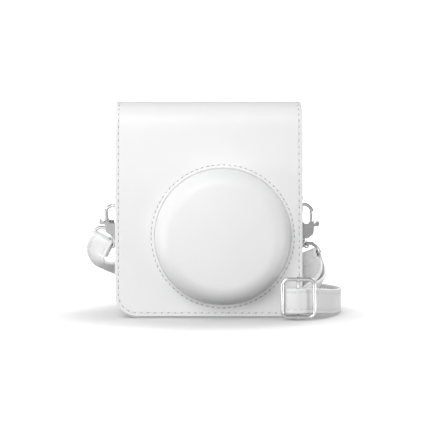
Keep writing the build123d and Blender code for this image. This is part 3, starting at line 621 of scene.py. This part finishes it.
def dome_profile(radius, top, rim, side_end):
    """The dome's section as (r, y), from its middle over the rounded rim to its side's end."""
    shoulder = radius - rim
    crown_r = (shoulder**2 + CROWN_DROP**2) / (2 * CROWN_DROP)
    points = [(r, top + crown_r - math.sqrt(crown_r**2 - r**2)) for r in steps(0.4, shoulder, 2.4)]
    for i in range(1, 17):
        t = math.pi / 2 * i / 16
        points.append((shoulder + rim * math.sin(t), top + CROWN_DROP + rim * (1 - math.cos(t))))
    points += [(radius, y) for y in steps(points[-1][1], side_end, 1.2)[1:]]
    return points


def make_dome():
    outer = dome_profile(DOME_R, CROWN_Y, RIM_R, FRONT_Y + SKIN)
    inner = dome_profile(DOME_R - DOME_WALL, CROWN_Y + DOME_WALL, RIM_R - 0.5, FRONT_Y + LINED)
    flange = [
        (FLANGE_R - 0.3, FRONT_Y + SKIN), (FLANGE_R, FRONT_Y + SKIN + 0.3), (FLANGE_R, FRONT_Y + LINED),
    ]
    section = outer + flange + list(reversed(inner))
    rows = []
    for r, y in section:
        turns = [math.tau * k / DOME_SIDES for k in range(DOME_SIDES)]
        rows.append([at((LENS_X + r * math.cos(t), y, LENS_Z + r * math.sin(t))) for t in turns])
    builder = Builder()
    builder.grid(rows, around=True)
    last = (len(rows) - 1) * DOME_SIDES
    builder.faces.append(tuple(range(DOME_SIDES)))
    builder.faces.append(tuple(last + k for k in range(DOME_SIDES)))
    piece = builder.make("dome_leather", WHITE_LEATHER, "white_leather")
    weld(piece)
    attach(piece, "flap_front")
    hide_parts("lens_dome")


make_dome()


# ---- the strap -------------------------------------------------------------------------
def spline_points(points, resolution=8):
    """Points along a smooth NURBS curve that has these points, in millimetres, as its controls."""
    curve = bpy.data.curves.new("route", "CURVE")
    curve.dimensions = "3D"
    spline = curve.splines.new("NURBS")
    spline.points.add(len(points) - 1)
    for control, point in zip(spline.points, points):
        control.co = (*at(point), 1.0)
    spline.order_u = 3
    spline.use_endpoint_u = True
    spline.resolution_u = resolution
    holder = bpy.data.objects.new("route", curve)
    mesh = bpy.data.meshes.new_from_object(holder)
    found = [v.co.copy() for v in mesh.vertices]
    bpy.data.objects.remove(holder)
    bpy.data.curves.remove(curve)
    bpy.data.meshes.remove(mesh)
    return found


# Half of the strap's section as (across, up): a rounded edge, a stitch groove, the middle.
STRAP_HALF = (
    (7.5, 0.0), (7.46, 0.45), (7.3, 0.8), (7.0, 1.02), (6.5, 1.1), (5.6, 1.1), (5.3, 1.04),
    (5.0, 0.9), (4.7, 1.04), (4.4, 1.1), (2.0, 1.12),
)


def strap_section():
    up = list(STRAP_HALF)
    top = up + [(-u, v) for u, v in reversed(up)]
    return top + [(-u, -v) for u, v in top[1:-1]]


PINCH_REACH = 26.0


class Ribbon:
    """A flat strap along a route of (centre, width direction), given in millimetres."""

    def __init__(self, route, narrow_start=0.0):
        centres = [Vector(c) for c, _ in route]
        edges = [Vector(c) + Vector(w).normalized() * STRAP_WIDTH / 2 for c, w in route]
        self.centres = spline_points(centres)
        self.edges = spline_points(edges)
        self.lengths = [0.0]
        for a, b in zip(self.centres, self.centres[1:]):
            self.lengths.append(self.lengths[-1] + (b - a).length)
        self.narrow_start = narrow_start

    def frame_at(self, i):
        """The centre, width direction and face normal at sample i."""
        before = self.centres[max(i - 1, 0)]
        after = self.centres[min(i + 1, len(self.centres) - 1)]
        run = (after - before).normalized()
        width = self.edges[i] - self.centres[i]
        width = (width - run * width.dot(run)).normalized()
        return self.centres[i], width, run.cross(width)

    def scale(self, i):
        """The strap is pinched a little where it passes through a ring."""
        return 1 - self.narrow_start * max(0.0, 1 - self.lengths[i] / (PINCH_REACH * MM)) ** 2

    def make(self, name):
        rows = []
        for i in range(len(self.centres)):
            centre, width, out = self.frame_at(i)
            size = self.scale(i)
            rows.append([centre + (width * u * size + out * v) * MM for u, v in strap_section()])
        builder = Builder()
        builder.grid(rows, around=True)
        count = len(rows[0])
        builder.faces.append(tuple(range(count)))
        builder.faces.append(tuple((len(rows) - 1) * count + k for k in range(count)))
        piece = builder.make(name, WHITE_LEATHER, "white_leather")
        weld(piece, 0.001)
        return piece

    def line(self, across, side):
        """A sewing line at a distance across the strap, on one of its two faces."""
        def find(distance):
            distance = min(max(distance * MM, 0.0), self.lengths[-1])
            low, high = 0, len(self.lengths) - 1
            while high - low > 1:
                middle = (low + high) // 2
                if self.lengths[middle] <= distance:
                    low = middle
                else:
                    high = middle
            share = (distance - self.lengths[low]) / (self.lengths[high] - self.lengths[low])
            a, width_a, out_a = self.frame_at(low)
            b, width_b, out_b = self.frame_at(high)
            width = width_a.lerp(width_b, share).normalized()
            out = out_a.lerp(out_b, share).normalized()
            size = self.scale(low)
            point = a.lerp(b, share) + (width * across * size + out * side * STRAP_FACE) * MM
            return point, out * side

        return find, self.lengths[-1] / MM


def sew_ribbon(ribbon, name):
    """Two rows of stitches on each face of a strap."""
    lines = [ribbon.line(a, side) for a in (-STRAP_STITCH, STRAP_STITCH) for side in (-1, 1)]
    made = sew(lines, STRAP_PITCH, name)
    for piece in made:
        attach(piece, "case")
    return made


LEFT_RING = Vector((-68.81, 20.55, 45.06))
LEFT_BAR = Vector((0.86, -0.20, -0.46)).normalized()
LEFT_UP = Vector((0.413, -0.243, 0.878)).normalized()
LEFT_OUT = LEFT_BAR.cross(LEFT_UP)
RIGHT_RING = Vector((62.60, 3.07, 35.38))
RIGHT_BAR = Vector((0.74, -0.58, 0.34)).normalized()
RIGHT_UP = Vector((-0.2, 0.29, 0.93)).normalized()
RIGHT_OUT = RIGHT_BAR.cross(RIGHT_UP)
FOLD = ((2.5, -5.0), (2.95, 0.8), (1.3, 2.8))  # (out, up) of the fold round a ring's bar


def round_bar(ring, up, out, bar, tail):
    """The strap's points from a tail behind a ring's bar, over it, to its front."""
    sides = [(-a, b) for a, b in FOLD] + list(reversed(FOLD))
    return [(ring + out * a + up * b, bar) for a, b in [(-2.4, -tail)] + sides]


COIL_MIDDLE = Vector((0.0, 64.0, 7.8))
COIL_STRAIGHT = 22.0  # half the length of the roll's straight sides
COIL_R = 24.9
COIL_PITCH = 11.0
UPRIGHT = (0.0, 0.0, 1.0)


def coil_point(turn, start_turn):
    """A point of the flat roll. turn counts from the roll's front, and winds inward."""
    radius = (COIL_R - COIL_PITCH * (turn - start_turn)) / math.cos(math.pi / 12)
    angle = math.tau * turn
    middle = math.sin(angle)
    side = COIL_STRAIGHT if middle > 0 else -COIL_STRAIGHT
    if abs(middle) < 1e-6:
        side = 0.0
    return COIL_MIDDLE + Vector((side + radius * math.sin(angle), -radius * math.cos(angle), 0.0))


def coil_turns(start, end, start_turn):
    """Twelve points a turn and one more at each end of each straight side."""
    count = round(abs(end - start) * 12)
    points = []
    for i in range(count + 1):
        turn = start + (end - start) * i / count
        point = coil_point(turn, start_turn)
        if abs(math.sin(math.tau * turn)) < 1e-6:
            heading = math.cos(math.tau * turn) * (1 if end > start else -1)
            for x in (-COIL_STRAIGHT * heading, COIL_STRAIGHT * heading):
                points.append((point + Vector((x, 0.0, 0.0)), UPRIGHT))
        else:
            points.append((point, UPRIGHT))
    return points


strap_route = (
    round_bar(LEFT_RING, LEFT_UP, LEFT_OUT, LEFT_BAR, 9.0)
    + [
        ((-73.6, 21.2, 36.6), (0.80, -0.55, -0.25)),
        ((-71.6, 23.6, 30.6), (0.55, -0.82, 0.15)),
        ((-66.0, 27.2, 28.4), (0.28, -0.92, 0.25)),
        ((-58.0, 33.2, 27.6), (0.25, -0.68, 0.68)),
        ((-48.0, 35.8, 19.6), (0.35, -0.15, 0.92)),
        ((-37.0, 36.6, 11.4), (0.30, 0.0, 0.95)),
    ]
    + coil_turns(0.0, 2.0, 0.0)
    + coil_turns(2.5, 0.5, 0.5)[:-1]
    + [
        ((14.0, 89.2, 7.8), UPRIGHT),
        ((34.0, 90.0, 7.8), UPRIGHT),
        ((57.0, 80.0, 7.8), UPRIGHT),
        ((77.0, 52.0, 7.8), UPRIGHT),
        ((85.2, 19.0, 7.8), UPRIGHT),
        ((77.5, -14.0, 8.6), UPRIGHT),
        ((67.6, -31.4, 10.4), UPRIGHT),
        ((59.8, -36.6, 11.2), UPRIGHT),
        ((53.6, -41.2, 11.3), UPRIGHT),
        ((46.6, -40.8, 11.3), UPRIGHT),
        ((44.6, -37.9, 11.3), UPRIGHT),
        ((46.6, -35.2, 11.3), UPRIGHT),
        ((51.5, -35.2, 11.3), UPRIGHT),
    ]
)
strap = Ribbon(strap_route, narrow_start=0.07)
strap_piece = strap.make("shoulder_strap")
strap_stitches = sew_ribbon(strap, "strap_stitching")
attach(strap_piece, "case")
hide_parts("strap_lead", "strap_coil", "strap_band")

loop_stations = (
    ((64.6, -3.0, 28.0), (0.85, -0.10, 0.50), (0.36, 0.74, -0.46)),
    ((64.8, -14.0, 20.0), (0.55, -0.10, 0.83), (0.73, 0.23, -0.46)),
    ((61.6, -25.0, 13.6), (0.10, 0.0, 1.0), (0.85, -0.49, -0.08)),
    ((55.6, -33.4, 10.4), (0.0, 0.0, 1.0), (0.5, -0.85, 0.0)),
)
INNER_GAPS = (2.2, 2.2, 1.6, 1.3)
OUTER_GAPS = (3.6, 3.0, 1.6, 1.3)


def strand(gaps, sign):
    return [
        (Vector(c) + Vector(out) * gap * sign, w) for (c, w, out), gap in zip(loop_stations, gaps)
    ]


fold_points = round_bar(RIGHT_RING, RIGHT_UP, RIGHT_OUT, RIGHT_BAR, 5.0)[1:]
loop_route = list(reversed(strand(OUTER_GAPS, 1))) + fold_points + strand(INNER_GAPS, -1)
loop = Ribbon(loop_route)
loop_piece = loop.make("adjuster_loop")
loop_stitches = sew_ribbon(loop, "adjuster_stitching")
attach(loop_piece, "case")
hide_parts("adjust_loop")


# ---- stage, camera and light, in metres ------------------------------------------------
STAGE_RADIUS = 1.4
STAGE_SPLIT = 0.22  # metal reflects the floor inside this radius
STAGE_BEND = 0.3
STAGE_TOP = 2.2
STAGE_SIDES = 96
BEND_STEPS = 16
CASE_MIDDLE = (0.0, 0.0, 0.065)
OBJECT_MIDDLE = (0.0, 0.03, 0.065)
# Each is (name, place, what it points at, width and height, watts).
SOFT_BOXES = (
    ("key", (-0.12, -0.42, 0.34), CASE_MIDDLE, (0.26, 0.26), 1.0),
    ("left_fill", (-0.60, -0.45, 0.16), CASE_MIDDLE, (0.5, 0.5), 0.75),
    ("left_low", (-0.45, -0.18, 0.03), CASE_MIDDLE, (0.2, 0.1), 0.5),
    ("right_low", (0.45, -0.22, 0.03), CASE_MIDDLE, (0.2, 0.1), 0.42),
    ("back_left", (-0.55, 0.65, 0.30), OBJECT_MIDDLE, (0.4, 0.4), 1.5),
    ("back_right", (0.50, 0.70, 0.45), OBJECT_MIDDLE, (0.4, 0.4), 2.6),
)
SUN_HEADING = (0.13, 1.0, -0.09)
CAMERA_PLACE = (0.0016, -0.628, 0.0637)


def make_glowing_stage():
    """White paper with a painted glow: emission that is zero near the case and grows strong away from the
    middle of the stage.
    """
    material = finish_material(
        "stage_white_painted_glow", (0.82, 0.82, 0.82), (0.84, 0.84, 0.84), (0.9, 1.0), mottle=5.0, depth=0.0,
        Emission_Color=(1.0, 1.0, 1.0, 1.0),
    )
    tree = material.node_tree
    coords = tree.nodes.new("ShaderNodeTexCoord")
    length = tree.nodes.new("ShaderNodeVectorMath")
    length.operation = "LENGTH"
    # Painted glow: the emission strength rises with the distance from the stage's middle.
    glow = tree.nodes.new("ShaderNodeMapRange")
    glow.interpolation_type = "SMOOTHSTEP"
    glow.inputs["From Min"].default_value = 0.055
    glow.inputs["From Max"].default_value = 0.17
    glow.inputs["To Min"].default_value = 0.0
    glow.inputs["To Max"].default_value = 0.90
    link(tree, coords, "Object", length, "Vector")
    link(tree, length, "Value", glow, "Value")
    link(tree, glow, "Result", tree.nodes["Principled BSDF"], "Emission Strength")
    return material


def make_ring(name, section, material, glossy):
    """A surface of revolution for the stage, which lets the lights and the sky through."""
    turns = [math.tau * i / STAGE_SIDES for i in range(STAGE_SIDES)]
    rows = [[Vector((r * math.cos(t), r * math.sin(t), z)) for t in turns] for r, z in section]
    verts = [v for row in rows for v in row]
    piece = make_piece(name, verts, join_grid(rows, around=True), material)
    weld(piece)
    piece.visible_diffuse = False
    piece.visible_glossy = glossy
    piece.visible_shadow = False


def make_stage():
    """A round pale floor that curves up into a wall all the way round."""
    glowing_paper = make_glowing_stage()
    make_ring("stage_floor", [(0.0001, 0.0), (0.1, 0.0), (STAGE_SPLIT, 0.0)], glowing_paper, True)
    section = [(STAGE_SPLIT, 0.0), (STAGE_RADIUS - STAGE_BEND, 0.0)]
    for i in range(1, BEND_STEPS + 1):
        t = math.pi / 2 * i / BEND_STEPS
        out = STAGE_RADIUS - STAGE_BEND + STAGE_BEND * math.sin(t)
        section.append((out, STAGE_BEND * (1 - math.cos(t))))
    section.append((STAGE_RADIUS, STAGE_TOP))
    make_ring("stage_wall", section, glowing_paper, False)


def link_object(name, data):
    thing = bpy.data.objects.new(name, data)
    bpy.context.scene.collection.objects.link(thing)
    return thing


def heading(direction):
    """The rotation that points a lamp along a direction."""
    return Vector(direction).to_track_quat("-Z", "Y").to_euler()


def make_lights():
    for name, location, target, size, power in SOFT_BOXES:
        light = bpy.data.lights.new(name, "AREA")
        light.shape = "RECTANGLE"
        light.size, light.size_y = size
        light.energy = power
        lamp = link_object(name, light)
        lamp.location = location
        lamp.rotation_euler = heading(Vector(target) - Vector(location))
    front_light = bpy.data.lights.new("front_light", "SUN")
    front_light.energy = 0.42
    front_light.angle = math.radians(3.5)
    link_object("front_light", front_light).rotation_euler = heading(SUN_HEADING)


def make_sky():
    """A white sky that is dim below the horizon and brighter above it."""
    world = bpy.data.worlds.new("studio")
    world.use_nodes = True
    sky = world.node_tree
    coords = sky.nodes.new("ShaderNodeTexCoord")
    split = sky.nodes.new("ShaderNodeSeparateXYZ")
    fade = sky.nodes.new("ShaderNodeMapRange")
    fade.interpolation_type = "SMOOTHSTEP"
    fade.inputs["From Min"].default_value = -0.9
    fade.inputs["From Max"].default_value = 0.5
    fade.inputs["To Min"].default_value = 0.10
    fade.inputs["To Max"].default_value = 0.52
    link(sky, coords, "Generated", split, "Vector")
    link(sky, split, "Z", fade, "Value")
    link(sky, fade, "Result", sky.nodes["Background"], "Strength")
    sky.nodes["Background"].inputs["Color"].default_value = (1.0, 1.0, 1.0, 1.0)
    bpy.context.scene.world = world


def make_camera():
    """A camera that looks straight at the case's front."""
    lens = bpy.data.cameras.new("camera")
    lens.lens = 85.6
    lens.sensor_width = 36.0
    camera = link_object("camera", lens)
    camera.location = CAMERA_PLACE
    camera.rotation_euler = (math.pi / 2, 0.0, 0.0)
    bpy.context.scene.camera = camera


make_stage()
make_lights()
make_sky()
make_camera()
bpy.context.scene.view_settings.view_transform = "Standard"
bpy.context.scene.view_settings.look = "None"
